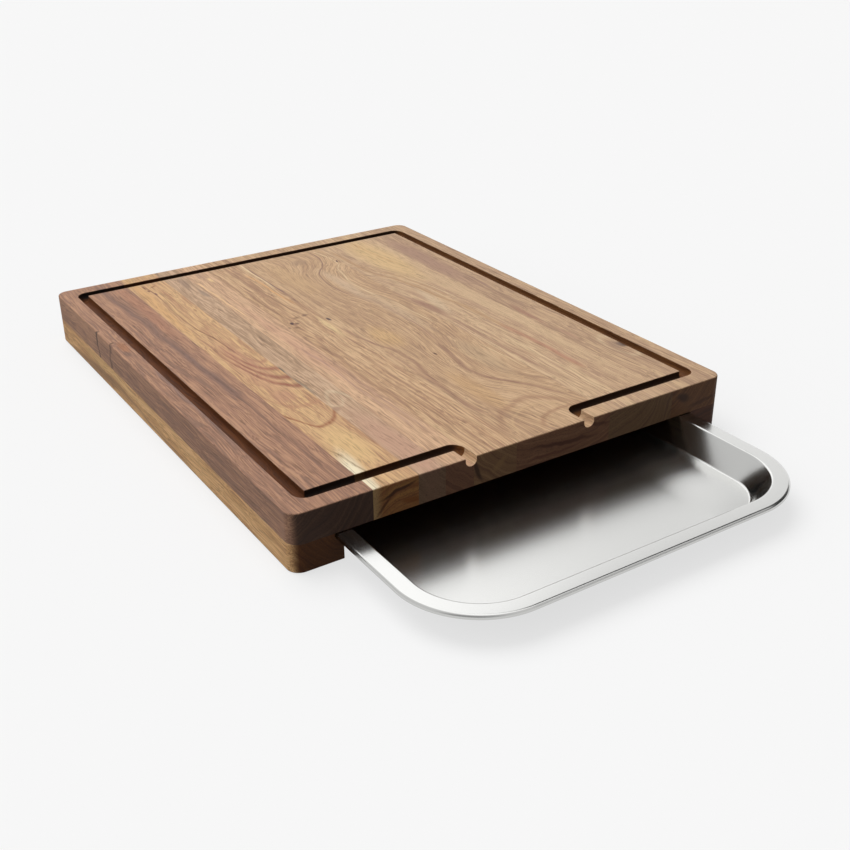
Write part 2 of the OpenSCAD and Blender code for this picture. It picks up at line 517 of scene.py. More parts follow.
def finish(piece, material):
    """Gives a piece its one material."""
    piece.data.materials.clear()
    piece.data.materials.append(material)


print("test colour:", [round(v, 3) for v in linear("#c8a06e")])

# %% [markdown]
# ## Oiled acacia
# Acacia is a hardwood whose colour runs from honey to purple brown. A board sawn from it shows
# streaks along the grain, dark veins, arches where the saw met the growth rings flat, and now and
# then a knot. Planed and oiled, it has a low satin sheen. Oil darkens the end grain, because the
# open pores drink it.
#
# The wood is drawn as a solid, in millimetres from the middle of the board, so that the top, edge
# and end of one stave belong together. Long noises give bands, streaks, fibres and pores. One
# grain line can be drawn as a curve, and the fibres beside it follow.

# %% Coordinates and noises of the wood
def board_point(tree, place, from_side):
    """The place in mm from the middle of the board: x across the grain, y along it. On a rail that
    is seen from the side, the height takes the place of x."""
    in_mm = {
        "Vector": place.outputs["Object"],
        "Location": (0, -MIDDLE_Y / MM, 0),
        "Scale": (1 / MM, 1 / MM, 1 / MM),
    }
    point = add(tree, "Mapping", in_mm)
    if not from_side:
        return point
    parts = add(tree, "SeparateXYZ", {0: point}).outputs
    return add(tree, "CombineXYZ", {0: parts["Z"], 1: parts["Y"], 2: parts["X"]})


def long_noise(tree, point, lump, seed, detail=3.0):
    """Noise stretched along the grain. lump is the size of its lumps, across and along, in mm.
    seed picks another place in the same endless noise."""
    across, along = lump
    scale = (1 / across, 1 / along, 1 / across)
    shift = (seed, seed * 1.7, seed * 0.6)
    stretched = add(tree, "Mapping", {"Vector": point, "Location": shift, "Scale": scale})
    texture = {"Vector": stretched, "Scale": 1.0, "Detail": detail, "Roughness": 0.6}
    return add(tree, "TexNoise", texture)


def line_x(tree, y, points):
    """The x of a line at a given y. The line is drawn through points, listed from the back to the
    front. The curve's range has a mm to spare on both sides."""
    xs, ys = [p[0] for p in points], [p[1] for p in points]
    low_x, high_x, low_y, high_y = min(xs) - 1, max(xs) + 1, min(ys), max(ys)
    along = add(tree, "MapRange", {"Value": y, "From Min": low_y, "From Max": high_y})
    line = add(tree, "FloatCurve", {"Value": along})
    curve = line.mapping.curves[0]
    spots = sorted(
        ((py - low_y) / (high_y - low_y), (px - low_x) / (high_x - low_x)) for px, py in points
    )
    curve.points[0].location, curve.points[1].location = spots[0], spots[-1]
    for spot in spots[1:-1]:
        curve.points.new(*spot)
    line.mapping.update()
    return add(tree, "MapRange", {"Value": line, "To Min": low_x, "To Max": high_x})


def follow(tree, point, points, fade_from, fade_to):
    """Bends the grain so that it runs beside a line. The bend grows from nothing at x = fade_from
    to all of it at x = fade_to."""
    parts = add(tree, "SeparateXYZ", {0: point}).outputs
    line = line_x(tree, parts["Y"], points)
    away = add(tree, "Math", {0: points[0][0], 1: line}, operation="SUBTRACT")
    reach = {"Value": parts["X"], "From Min": fade_from, "From Max": fade_to}
    fade = add(tree, "MapRange", reach, **SOFT)
    shift = add(tree, "Math", {0: away, 1: fade}, operation="MULTIPLY")
    side = add(tree, "CombineXYZ", {"X": shift})
    return add(tree, "VectorMath", {0: point, 1: side})


print("noises ready")

# %% [markdown]
# ## Marks in the wood
# A patch is a soft oval, for a change of colour, a knot or a spot. A vein is a line that runs with
# the grain and fades over its last 12 mm. An arch is the end of a growth ring that the saw met
# flat, and fades toward its foot. All three reach through the full depth of the wood. The streaks
# show through veins and arches, so that these look grown and not painted.

# %% Patches, veins and arches
VEIN_FADE = 12
PATCH_CORE = 0.7
ARCH_FOOT = {"From Min": 0.1, "From Max": 0.5}
ALL_DEPTHS = 1e6


def patch(tree, colour, point, x, y, half_x, half_y, turn, tint, strength):
    """A soft oval, turned by some degrees."""
    oval = {
        "Vector": point,
        "Location": (x, y, 0),
        "Rotation": (0, 0, math.radians(turn)),
        "Scale": (half_x, half_y, ALL_DEPTHS),
    }
    here = add(tree, "Mapping", oval, vector_type="TEXTURE")
    ball = add(tree, "TexGradient", {"Vector": here}, gradient_type="SPHERICAL")
    share = {"Value": ball.outputs["Fac"], "From Max": PATCH_CORE, "To Max": strength}
    soft = add(tree, "MapRange", share, **SOFT)
    return add(tree, "Mix", {0: soft, 6: colour, 7: tint}, data_type="RGBA")


def stroke(tree, colour, off, width, strength, ends, streaks, tint):
    """Paints where off, the distance from a line, is less than width. ends fades its ends."""
    off = add(tree, "Math", {0: off}, operation="ABSOLUTE")
    line = {"Value": off, "From Max": width, "To Min": strength, "To Max": 0.0}
    amount = add(tree, "MapRange", line, **SOFT)
    amount = add(tree, "Math", {0: amount, 1: ends}, operation="MULTIPLY")
    amount = add(tree, "Math", {0: amount, 1: streaks}, operation="MULTIPLY", use_clamp=True)
    return add(tree, "Mix", {0: amount, 6: colour, 7: tint}, data_type="RGBA")


def vein(tree, colour, parts, streaks, points, width, tint, strength):
    """A line through points, listed from the back to the front, in mm."""
    low, high = min(p[1] for p in points), max(p[1] for p in points)
    centre, half = (low + high) / 2, (high - low) / 2
    line = line_x(tree, parts["Y"], points)
    aside = add(tree, "Math", {0: parts["X"], 1: line}, operation="SUBTRACT")
    past = add(tree, "Math", {0: parts["Y"], 1: centre}, operation="SUBTRACT")
    past = add(tree, "Math", {0: past}, operation="ABSOLUTE")
    fade = {"Value": past, "From Min": half, "From Max": max(half - VEIN_FADE, 0)}
    ends = add(tree, "MapRange", fade)
    return stroke(tree, colour, aside, width, strength, ends, streaks, tint)


def arch(tree, colour, point, streaks, x, y, half_x, top, width, tint, strength):
    """Half an ellipse round (x, y) that is half_x wide and ends top mm further along. width is a
    share of its size."""
    size = {"Vector": point, "Location": (x, y, 0), "Scale": (half_x, top, ALL_DEPTHS)}
    here = add(tree, "Mapping", size, vector_type="TEXTURE")
    ring = add(tree, "VectorMath", {0: here}, operation="LENGTH")
    off = add(tree, "Math", {0: ring, 1: 1.0}, operation="SUBTRACT")
    parts = add(tree, "SeparateXYZ", {0: here}).outputs
    upper = add(tree, "MapRange", {"Value": parts["Y"], **ARCH_FOOT})
    return stroke(tree, colour, off, width, strength, upper, streaks, tint)


print("marks ready")

# %% [markdown]
# ## What a whole piece of wood shares
# Four things are the same for every stave, apart from a few numbers: how its lines wander, the
# growth rings round the middle of the log, the darker end grain, and painted shade in the groove,
# which darkens it below its lip, more on its end-grain sides. Real fibres and pores are 0.1 to
# 0.3 mm across. They are drawn coarser, so that they show at arm's length.

# %% Sizes and colours of the grain
# the first five are the size of a noise's lumps in mm, across and along the grain
WANDER = (22, 75)
BAND = (11, 190)
STREAK = (2.2, 130)
FIBRE = (0.8, 36)
PORE = (0.5, 24)
WANDER_BY = (8, 14, 8)
RINGS_PER_MM = 0.35
END_RINGS, END_FIBRES = 4.0, 1.0
END_GRAIN = {"From Min": 0.55, "From Max": 0.9}
UNEVEN = {"From Min": 0.3, "From Max": 0.7, "To Min": 0.5, "To Max": 1.3}
PORE_SHARE = {"From Min": 0.53, "From Max": 0.66, "To Max": 0.42}
PORE_BROWN = "#5a4030"
# painted shade: the colours that darken the groove below its lip, on long grain and on end grain
GROOVE_SHADE, GROOVE_SHADE_END = "#907050", "#6b5f50"
BELOW_LIP = 0.4 * MM
SPARE = 0.1 * MM
SHEEN = {"To Min": 0.52, "To Max": 0.72}
print("noise lumps, mm:", WANDER, BAND, STREAK, FIBRE, PORE)


# %% Lines, rings, end grain and groove
def wandering(tree, point, seed):
    """Nothing in wood is quite straight: all lines wander by a mm or two over a hand's breadth."""
    noise = long_noise(tree, point, WANDER, seed, 2.0).outputs["Color"]
    shift = add(tree, "VectorMath", {0: noise, 1: (0.5, 0.5, 0.5)}, operation="SUBTRACT")
    shift = add(tree, "VectorMath", {0: shift, 1: WANDER_BY}, operation="MULTIPLY")
    return add(tree, "VectorMath", {0: point, 1: shift})


def growth_rings(tree, grain, pith):
    """Noise that changes only with the distance from the pith, the middle of the log."""
    log = add(tree, "VectorMath", {0: grain, 1: (pith[0], 0, pith[1])}, operation="SUBTRACT")
    log = add(tree, "VectorMath", {0: log, 1: (1, 0, 1)}, operation="MULTIPLY")
    radius = add(tree, "VectorMath", {0: log}, operation="LENGTH")
    texture = {"W": radius, "Scale": RINGS_PER_MM, "Detail": 4.0, "Roughness": 0.7}
    return add(tree, "TexNoise", texture, noise_dimensions="1D")


def tone_from(tree, noises):
    """The sum of noises, each times its weight, with its middle at 0.5."""
    tone = 0.5 - sum(weight for noise, weight in noises) / 2
    for noise, weight in noises:
        parts = {0: noise.outputs["Fac"], 1: weight, 2: tone}
        tone = add(tree, "Math", parts, operation="MULTIPLY_ADD")
    return tone


def sawn_across(tree, place):
    """1 on end grain, where the face looks along y, and 0 elsewhere."""
    facing = add(tree, "SeparateXYZ", {0: place.outputs["Normal"]})
    along = add(tree, "Math", {0: facing.outputs["Y"]}, operation="ABSOLUTE")
    return add(tree, "MapRange", {"Value": along, **END_GRAIN})


def in_groove(tree, place):
    """1 in the juice groove, below its softened lip, and 0 elsewhere and in the spouts."""
    spot = {"Vector": place.outputs["Object"], "Location": (0, -MIDDLE_Y, -TOP_Z)}
    parts = add(tree, "SeparateXYZ", {0: add(tree, "Mapping", spot)}).outputs
    inside = add(tree, "Math", {0: parts["Z"], 1: -BELOW_LIP}, operation="LESS_THAN")
    for axis, run in (("X", RUN_X), ("Y", RUN_Y)):
        off = add(tree, "Math", {0: parts[axis]}, operation="ABSOLUTE")
        edge = run + GROOVE_W / 2 + SPARE
        within = add(tree, "Math", {0: off, 1: edge}, operation="LESS_THAN")
        inside = add(tree, "Math", {0: inside, 1: within}, operation="MULTIPLY")
    return inside


print("wood parts ready")

# %% The wood material
def acacia(
    name, tones, pith, bands=0.8, streaks=1.0, fibres=1.8, rings=0.3, flow=None, patches=(),
    veins=(), arches=(), ends="#7b6351", end_marks=(), from_side=False, seed=0,
):
    """Oiled acacia for one piece. tones are its dark, middle and light colour. bands, streaks,
    fibres and rings say how strong each noise is. pith is the (x, z) of the log's middle, in mm.
    ends is what the oil makes of the end grain, and end_marks are patches on the sawn end, placed
    by x and height."""
    material, tree, shader = start_material(name)
    place = add(tree, "TexCoord")
    point = wandering(tree, board_point(tree, place, from_side), seed)
    grain = follow(tree, point, *flow) if flow else point
    band = long_noise(tree, grain, BAND, seed + 1)
    streak = long_noise(tree, grain, STREAK, seed + 2, 4.0)
    fibre = long_noise(tree, grain, FIBRE, seed + 3)
    pores = long_noise(tree, grain, PORE, seed + 4, 1.0)
    years = growth_rings(tree, grain, pith)

    noises = ((band, 2 * bands), (streak, 2 * streaks), (fibre, 2 * fibres), (years, 2 * rings))
    tone = tone_from(tree, noises)
    end_tone = tone_from(tree, ((years, END_RINGS), (fibre, END_FIBRES)))
    is_end = sawn_across(tree, place)
    tone = add(tree, "Mix", {0: is_end, 2: tone, 3: end_tone})
    colour = add(tree, "ValToRGB", {"Fac": tone})
    ramp = colour.color_ramp.elements
    ramp[0].color, ramp[1].color = linear(tones[0]), linear(tones[2])
    ramp.new(0.5).color = linear(tones[1])

    flat = add(tree, "VectorMath", {0: point, 1: (1, 1, 0)}, operation="MULTIPLY")
    parts = add(tree, "SeparateXYZ", {0: flat}).outputs
    uneven = add(tree, "MapRange", {"Value": streak.outputs["Fac"], **UNEVEN})
    for values in patches:
        colour = patch(tree, colour, flat, *values)
    for values in veins:
        colour = vein(tree, colour, parts, uneven, *values)
    for values in arches:
        colour = arch(tree, colour, flat, uneven, *values)
    pore = add(tree, "MapRange", {"Value": pores.outputs["Fac"], **PORE_SHARE})
    colour = add(tree, "Mix", {0: pore, 6: colour, 7: PORE_BROWN}, data_type="RGBA")

    grown = colour
    if end_marks:
        solid = add(tree, "SeparateXYZ", {0: point}).outputs
        section = add(tree, "CombineXYZ", {0: solid["X"], 1: solid["Z"]})
        for values in end_marks:
            grown = patch(tree, grown, section, *values)
    soaked = {0: 1.0, 6: grown, 7: ends}
    soaked = add(tree, "Mix", soaked, data_type="RGBA", blend_type="MULTIPLY")
    colour = add(tree, "Mix", {0: is_end, 6: colour, 7: soaked}, data_type="RGBA")
    # painted shade: on the top pieces, the groove below its lip is multiplied darker, more on end
    # grain
    if not from_side:
        shade_tints = {0: is_end, 6: GROOVE_SHADE, 7: GROOVE_SHADE_END}
        groove_shaded = {0: 1.0, 6: colour, 7: add(tree, "Mix", shade_tints, data_type="RGBA")}
        groove_shaded = add(tree, "Mix", groove_shaded, data_type="RGBA", blend_type="MULTIPLY")
        inside = in_groove(tree, place)
        colour = add(tree, "Mix", {0: inside, 6: colour, 7: groove_shaded}, data_type="RGBA")

    height = fibre.outputs["Fac"]
    gloss = add(tree, "MapRange", {"Value": height, **SHEEN})
    bump = add(tree, "Bump", {"Height": height, "Strength": 0.25, "Distance": 0.08 * MM})
    feed(shader, {"Base Color": colour, "Roughness": gloss, "Normal": bump})
    feed(shader, {"IOR": 1.48, "Specular IOR Level": 0.25})
    return material


print("wood function ready")

# %% [markdown]
# ## One material for each stave
# No two staves come from the same log, which is what makes such a board lively. Each call below
# gives one stave its own colours, its own place in the log and its own marks. A patch is x, y,
# half width, half length, turn, colour and strength. A vein is its points, half width, colour and
# strength. An arch is x, y, half width, length, line width, colour and strength. A flow is the
# points of a grain line, and the two x between which the bend grows.

# %% Wood for the four staves on the left
REDDISH_BROWN = acacia(
    "acacia_reddish_brown",
    ("#8b6b5a", "#a17a64", "#b88f73"),
    pith=(-190, 70),
    flow=(
        [(-120, 195), (-120, 150), (-118, 120), (-114, 91), (-115, 72), (-113.5, 0), (-111, -195)],
        -145,
        -125,
    ),
    patches=[
        (-112, 120, 7, 90, 0, "#b07f66", 0.6),
        (-150, 64, 4.5, 13, 0, "#a9714f", 0.6),
        (-152, 52, 3, 8, 0, "#66504a", 0.6),
        (-155, 75, 4, 1.3, 25, "#4b362c", 0.7),
        (-157.5, 73, 2.5, 4, 20, "#54403a", 0.6),
        (-157, 101, 3, 2.2, -15, "#3c332f", 0.8),
    ],
    veins=[
        ([(-126, 195), (-126, 172), (-124.8, 147), (-124, 125), (-121.6, 110), (-119.8, 91),
          (-121, 72), (-119.8, 47), (-118.5, 0), (-118, -60)], 5.5, "#7c6259", 0.8),
        ([(-118, 0), (-117.5, -100), (-116, -150), (-116.5, -195)], 1.3, "#6f544a", 0.7),
        ([(-147, 20), (-146.5, -20), (-147, -70), (-147, -120)], 2.5, "#7f6963", 0.6),
    ],
    ends="#807e80",
    seed=3,
)
HONEY = acacia(
    "acacia_honey",
    ("#b28768", "#c8a17a", "#d9b485"),
    pith=(-79, -10),
    bands=0.6,
    streaks=0.7,
    patches=[
        (-101.5, 125, 5.5, 105, 0, "#d2a676", 0.8),
        (-92, -10, 13, 75, 0, "#bb8c72", 0.6),
        (-93, -68, 11, 14, 0, "#b98972", 0.5),
        (-92, -142, 15, 38, 0, "#dcb986", 0.8),
        (-105.5, -186, 8.5, 52, -7, "#f0e2c2", 1.0),
        (-96.6, 168, 1.3, 6, 0, "#7a5038", 0.9), (-90, 166, 4, 2, 20, "#9a6b48", 0.7),
        (-96.4, 160, 1.3, 3, 0, "#6f4a3a", 0.9), (-94, 151, 1.4, 4, 0, "#6b4552", 0.9),
        (-84.7, 141, 1.0, 3, 0, "#94694f", 0.7), (-81, 102, 1.2, 4, 0, "#94694f", 0.7),
    ],
    veins=[
        ([(-94.7, 178), (-94.7, 100), (-94.5, 72), (-92, 47), (-90.4, 30), (-88, 10)],
         1.1, "#855c46", 0.85),
        ([(-91, 140), (-91, 98), (-90, 80)], 0.9, "#94694f", 0.6),
        ([(-100, 60), (-99.8, 35), (-98, 0)], 1.2, "#99695a", 0.6),
        ([(-106, -137), (-103.5, -150), (-101, -164), (-98.5, -175), (-96.4, -200)],
         1.2, "#927653", 0.8),
    ],
    arches=[
        (-79, 45, 22.4, -100, 0.06, "#96614f", 0.9), (-79, 45, 20.5, -93, 0.025, "#d9ad88", 0.5),
        (-79, 45, 18.7, -87, 0.08, "#96614f", 0.9), (-79, 45, 15.4, -71, 0.09, "#a06a58", 0.85),
        (-79, 45, 11.8, -56, 0.09, "#a97864", 0.6), (-79, 45, 23.8, -106, 0.02, "#d9ad88", 0.6),
        (-86, -30, 22, -58, 0.08, "#b38468", 0.6), (-90, -60, 20, -55, 0.06, "#9a6449", 0.85),
    ],
    ends="#cdb192",
    end_marks=[
        (-90, 31, 16, 1.8, 14, "#4a2e20", 0.9),
        (-99, 24, 9, 1.5, 48, "#5e3a26", 0.8),
        (-82, 23, 8, 3, -10, "#a06a3c", 0.7),
    ],
    seed=11,
)
GREY_TAN = acacia(
    "acacia_grey_tan",
    ("#a1846a", "#b9997c", "#ceae91"),
    pith=(-20, 60),
    fibres=2.1,
    patches=[
        (-65.5, 157, 4.5, 20, 0, "#937a68", 0.7),
        (-61.5, 128, 2.5, 14, 0, "#8d7a6c", 0.6),
        (-76.6, -28, 1.5, 6, 0, "#5d584e", 0.95),
        (-68, -160, 14, 75, 0, "#c19a82", 0.9),
        (-74, -100, 4, 5, 0, "#9f7f6a", 0.7),
    ],
    veins=[([(-76.5, -20), (-76, -45), (-75, -80)], 1.2, "#7d7566", 0.7)],
    arches=[(-66, -100, 8, 24, 0.2, "#d9c4a4", 0.5), (-70, -84, 6, -14, 0.2, "#d9c4a4", 0.4)],
    ends="#b2aca6",
    seed=17,
)
PINKISH = acacia(
    "acacia_pinkish",
    ("#b28e73", "#caa585", "#dab592"),
    pith=(10, 95),
    patches=[
        (-46, 156, 2.4, 7, 0, "#e6c594", 0.9),
        (-50, 166, 5, 12, 0, "#ab8a74", 0.6),
        (-50, 10, 7, 120, 0, "#c99c83", 0.45),
    ],
    veins=[
        ([(-58, 158), (-56.5, 125), (-55.5, 65)], 1.4, "#e9c496", 0.8),
        ([(-50, 0), (-49.5, -60), (-49, -150)], 1.6, "#a07c72", 0.5),
        ([(-45, 0), (-44.6, -90), (-45, -160)], 1.3, "#a07c72", 0.45),
    ],
    ends="#a28e88",
    seed=23,
)
print("four woods made")

# %% Wood for the four staves on the right
BROWN_STREAKED = acacia(
    "acacia_brown_streaked",
    ("#a37f66", "#be9a78", "#d3b18c"),
    pith=(20, 80),
    streaks=1.3,
    patches=[
        (-14, 17, 3.4, 30, 0, "#dcbf92", 0.9),
        (-33, 41, 2.2, 3.6, 0, "#4b3538", 1.0), (-30, 38, 2, 3, 30, "#6e5040", 0.8),
        (-39, 33, 2, 3, 0, "#7b5f4a", 0.8), (-33, 32, 3, 2.4, 0, "#8a6a4e", 0.8),
        (-26, 47, 3, 3, 0, "#8a6a52", 0.7), (-20, 47, 3.5, 3.5, 0, "#7a5e4c", 0.8),
    ],
    veins=[
        ([(-13.7, 180), (-13, 150), (-12.3, 108)], 1.1, "#ecd8b0", 0.9),
        ([(-11, 180), (-10.8, 140), (-10.6, 70)], 1.4, "#74585a", 0.8),
        ([(-18.5, 152), (-16.5, 110), (-15, 66)], 1.6, "#d6a470", 0.7),
        ([(-35, 110), (-34, 80), (-32.5, 48)], 1.0, "#856349", 0.8),
        ([(-23.5, 108), (-22, 75), (-20, 46)], 1.1, "#8a6a52", 0.8),
        ([(-29, 20), (-28.5, -80), (-29, -195)], 1.2, "#9a7860", 0.6),
        ([(-21, 0), (-20.5, -40), (-21, -100)], 1.4, "#9a7860", 0.5),
    ],
    ends="#bcb0a4",
    end_marks=[(-37, 27, 2.2, 14, 18, "#54382c", 0.9), (-22, 27, 9, 3, 40, "#d8b487", 0.6)],
    seed=29,
)
WIDE_FIGURE = acacia(
    "acacia_wide_figure",
    ("#a8876d", "#be9c7a", "#cfae8b"),
    pith=(15, 92),
    streaks=0.7,
    flow=(
        [(46, 195), (46.5, 174), (50, 160), (47.8, 147), (44, 135), (36.5, 124), (30, 111),
         (27, 99), (27, 86), (28.4, 75), (31, 62), (36, 45), (38, 20), (38, -10), (35, -40),
         (31, -62), (28, -85), (28, -106), (32, -119), (40, -132), (49, -147), (56, -170),
         (60, -195)],
        -6,
        30,
    ),
    patches=[
        (30, 152, 8, 12, -35, "#a0836a", 0.6),
        (8, 120, 16, 60, 0, "#c9a67e", 0.5),
        (37, 85, 7, 55, 0, "#cbb094", 0.6),
        (42, 20, 9, 60, 0, "#cbb092", 0.5),
        (9, -20, 12, 30, 0, "#cfa977", 0.5),
        (12, -125, 10, 45, 0, "#c9a172", 0.4),
        (45, -85, 10, 50, 0, "#c2a685", 0.6),
        (-7.8, 32, 1.6, 4.6, 0, "#503c42", 1.0),
        (59, 139, 1.3, 4, -20, "#5f4440", 1.0),
        (21, -62.5, 1.0, 3.2, 0, "#5a3d33", 1.0),
    ],
    veins=[
        ([(46.5, 180), (50, 160), (47.8, 147), (44, 135), (36.5, 124), (30, 111), (27, 99),
          (27, 86), (28.4, 75), (31, 58)], 1.1, "#785650", 0.85),
        ([(30.5, 66), (34, 50), (38.5, 36), (39, 0), (37, -30), (33, -50)], 1.4, "#a5826e", 0.6),
        ([(34, -45), (30, -62), (26.5, -81), (27, -106), (31.5, -119), (39, -132), (49, -147),
          (53, -160)], 3.0, "#9a7662", 0.85),
        ([(51.5, 180), (54, 162), (57, 146), (57, 136), (54, 127), (49, 119), (45, 100),
          (43.4, 85), (44, 70), (45, 56), (48, 44), (50, 22), (51.5, -20)], 0.9, "#e4cda6", 0.65),
        ([(55, -60), (57, -85), (60, -118)], 0.9, "#e0c79f", 0.8),
        ([(-8.5, 15), (-8, 0), (-5, -20), (-1, -35), (2.5, -48), (2.5, -62), (0, -80),
          (-3, -100), (-4, -125), (-3.5, -160)], 2.4, "#97725f", 0.75),
        ([(-4, -40), (-3, -70), (-5, -100), (-6, -150)], 1.6, "#a37f6a", 0.6),
    ],
    arches=[
        (25, -195, 34, 42, 0.12, "#a58066", 0.6),
        (25, -195, 27, 33, 0.06, "#cbaa84", 0.5),
        (45, -195, 30, 22, 0.12, "#a17a60", 0.65),
    ],
    ends="#b49e98",
    end_marks=[
        (25, 27, 34, 2.2, -3, "#6b4436", 0.8),
        (20, 22, 30, 1.5, 3, "#8a5f4c", 0.7),
        (48, 33, 18, 1.6, -8, "#7a5444", 0.7),
    ],
    seed=37,
)
GOLDEN = acacia(
    "acacia_golden",
    ("#b08f76", "#c5a584", "#d3b591"),
    pith=(30, 85),
    flow=(
        [(66, 195), (66, 110), (70, 91), (76.5, 75), (79, 62), (81.5, 47), (84, 22), (88, 0),
         (88, -195)],
        112,
        92,
    ),
    patches=[
        (92, 125, 21, 85, 0, "#d5b485", 0.85),
        (64.5, 12, 6, 34, 8, "#9a7563", 0.8),
        (75, 20, 6, 40, -8, "#d0b595", 0.8),
        (106, -20, 6, 170, 0, "#d2b490", 0.6),
    ],
    veins=[
        ([(65, 165), (66, 141), (66.5, 110), (70, 91), (76.5, 75), (79, 62), (81.5, 47),
          (84, 22), (88, 0), (89, -60), (90, -140)], 3.2, "#ad8764", 0.7),
        ([(70, 125), (72, 105), (79, 85), (85, 66), (88, 45), (91, 15)], 1.8, "#b58f6a", 0.6),
        ([(84, 78), (88, 61), (91.5, 40), (94, 12)], 1.0, "#e6cda4", 0.8),
        ([(63, 5), (65, -30), (66, -62), (66, -120)], 3.0, "#9c7764", 0.7),
        ([(70, -15), (71, -60), (73, -110)], 1.5, "#a37d66", 0.6),
        ([(78, -60), (78, -120), (79, -180)], 1.2, "#dcc19b", 0.6),
        ([(88, -40), (90, -90), (91, -140)], 4.0, "#b58570", 0.65),
        ([(90, 180), (92, 150), (93, 128), (97, 100)], 1.0, "#bd8f60", 0.7),
    ],
    ends="#a09488",
    seed=41,
)
PINKISH_TAN = acacia(
    "acacia_pinkish_tan",
    ("#a3846c", "#b9997c", "#caab88"),
    pith=(90, 70),
    streaks=0.7,
    patches=[
        (121, 100, 12, 95, 0, "#a78672", 0.95),
        (138, -122, 4.5, 9, 20, "#4d3b33", 0.95),
        (134, -118, 6, 10, 0, "#9a8170", 0.5),
        (117, -40, 3.5, 30, -4, "#9e7262", 0.6),
        (118, -85, 3, 22, 0, "#a37c6a", 0.5),
    ],
    veins=[([(127, 60), (128, 35), (126, 15)], 1.5, "#8d6e64", 0.6)],
    arches=[(134, -128, 8, 26, 0.2, "#d3bc9a", 0.5), (134, -116, 8, -24, 0.2, "#d3bc9a", 0.5)],
    ends="#a48c7a",
    end_marks=[(122, 30, 9, 4.5, -25, "#5a4034", 0.9), (140, 23, 16, 2, 6, "#6f5040", 0.7)],
    seed=47,
)
WOODS = [REDDISH_BROWN, HONEY, GREY_TAN, PINKISH, BROWN_STREAKED, WIDE_FIGURE, GOLDEN, PINKISH_TAN]
for stave, wood in zip(staves, WOODS):
    finish(stave, wood)
    print(stave.name, "is", wood.name)

# %% [markdown]
# ## Wood for the rails
# The side rails show their outer side, so their marks are placed by height and length.

# %% Wood for the three rails
RAIL_WOODS = {
    "left_wooden_rail": acacia(
        "acacia_tan_rail",
        ("#b88b62", "#d4a673", "#e8bd8a"),
        pith=(30, -120),
        patches=[
            (4, 110, 6, 85, 3, "#8c6a50", 0.7),
            (14, 100, 5, 60, 2, "#cfa874", 0.6),
            (14.5, 45, 3, 70, 2, "#e6bf8a", 0.7),
        ],
        veins=[([(9, 120), (8, 60), (5, 20), (3, -20), (4, -60)], 2.0, "#8f6d54", 0.6)],
        ends="#6e5644",
        from_side=True,
        seed=53,
    ),
    "right_wooden_rail": acacia(
        "acacia_reddish_rail",
        ("#8a6656", "#a57c66", "#b98f76"),
        pith=(-60, 150),
        from_side=True,
        seed=59,
    ),
    "back_wooden_rail": acacia(
        "acacia_brown_rail", ("#8a6a55", "#a17e64", "#b49174"), pith=(0, -40), seed=61
    ),
}
for rail in rails:
    finish(rail, RAIL_WOODS[rail.name])
    print(rail.name, "is", RAIL_WOODS[rail.name].name)

# %% [markdown]
# ## Satin stainless steel
# The tray is pressed from rolled chromium-nickel steel and left with a fine satin face. Rolling
# draws hairlines in one direction, which break up a reflection. Metallic is 1, the colour is the
# light grey of the steel, and the roughness is low enough to show the dark board as a soft-edged
# shape. The walls slid along the polished tool, so they are a little smoother than the floor.
# Real hairlines are a few hundredths of a mm wide. They are drawn half a mm wide, to show at all.
#
# Thin sheet springs back after the press, so the floor of such a tray is never a true plane. A
# mirror doubles each degree of slope, so a lean that the hand hardly feels still moves the edge of
# a reflection. Bump draws this dishing: the floor leans up toward the front, by as much as
# 2.5 degrees, and beside one wall by as much as 5 degrees.

# %% The steel material
HAIR_LENGTH, HAIR_WIDTH = 60 * MM, 0.5 * MM
FLOOR_GLOSS = {"To Min": 0.22, "To Max": 0.25}
WALL_GLOSS = 0.18
FRONT_LEAN = {"From Min": -100 * MM, "From Max": -260 * MM, "To Max": 4.6 * MM}
SIDE_LEAN = {"From Min": 66 * MM, "From Max": 107 * MM, "To Max": 2.6 * MM}
FLOOR_ONLY = {"From Min": FLOOR_Z + 0.6 * MM, "From Max": FLOOR_Z + 0.2 * MM}

steel, tree, shader = start_material("satin_stainless_steel")
place = add(tree, "TexCoord").outputs["Object"]
hair = (1 / HAIR_LENGTH, 1 / HAIR_WIDTH, 1 / HAIR_WIDTH)
hair = add(tree, "Mapping", {"Vector": place, "Scale": hair})
hair = add(tree, "TexNoise", {"Vector": hair, "Scale": 1.0, "Detail": 2.0})
gloss = add(tree, "MapRange", {"Value": hair.outputs["Fac"], **FLOOR_GLOSS})
sheet = add(tree, "SeparateXYZ", {0: place}).outputs
front = add(tree, "MapRange", {"Value": sheet["Y"], **FRONT_LEAN}, **SOFT)
side = add(tree, "MapRange", {"Value": sheet["X"], **SIDE_LEAN}, **SOFT)
dish = add(tree, "Math", {0: side, 1: front})
on_floor = add(tree, "MapRange", {"Value": sheet["Z"], **FLOOR_ONLY})
gloss = add(tree, "Mix", {0: on_floor, 2: WALL_GLOSS, 3: gloss})
bump = add(tree, "Bump", {"Strength": on_floor, "Distance": 1.0, "Height": dish})
feed(shader, {"Base Color": "#dcdcda", "Metallic": 1.0, "Roughness": gloss, "Normal": bump})
finish(tray, steel)
print("steel on", tray.name)

# %% [markdown]
# ## The floor
# The board stands on a pale studio table. A polished sheet shows nothing but what it mirrors, so
# most of the tray's look comes from the room and not from its own colour. The Light Path node says
# what a ray is for, and lets the room look right in the steel without lighting the wood. Rays from
# the camera and from the first mirror see a table that glows a little, up to a pale grey. All
# other rays see a plain darker table, which still takes the board's shadow and keeps the end grain
# at the front dark, as in the photo.

# %% Lay the floor
FLOOR_TONES = ("#505050", "#848484")
GLOW_IN_MIRROR, GLOW_IN_CAMERA = 0.58, 0.7


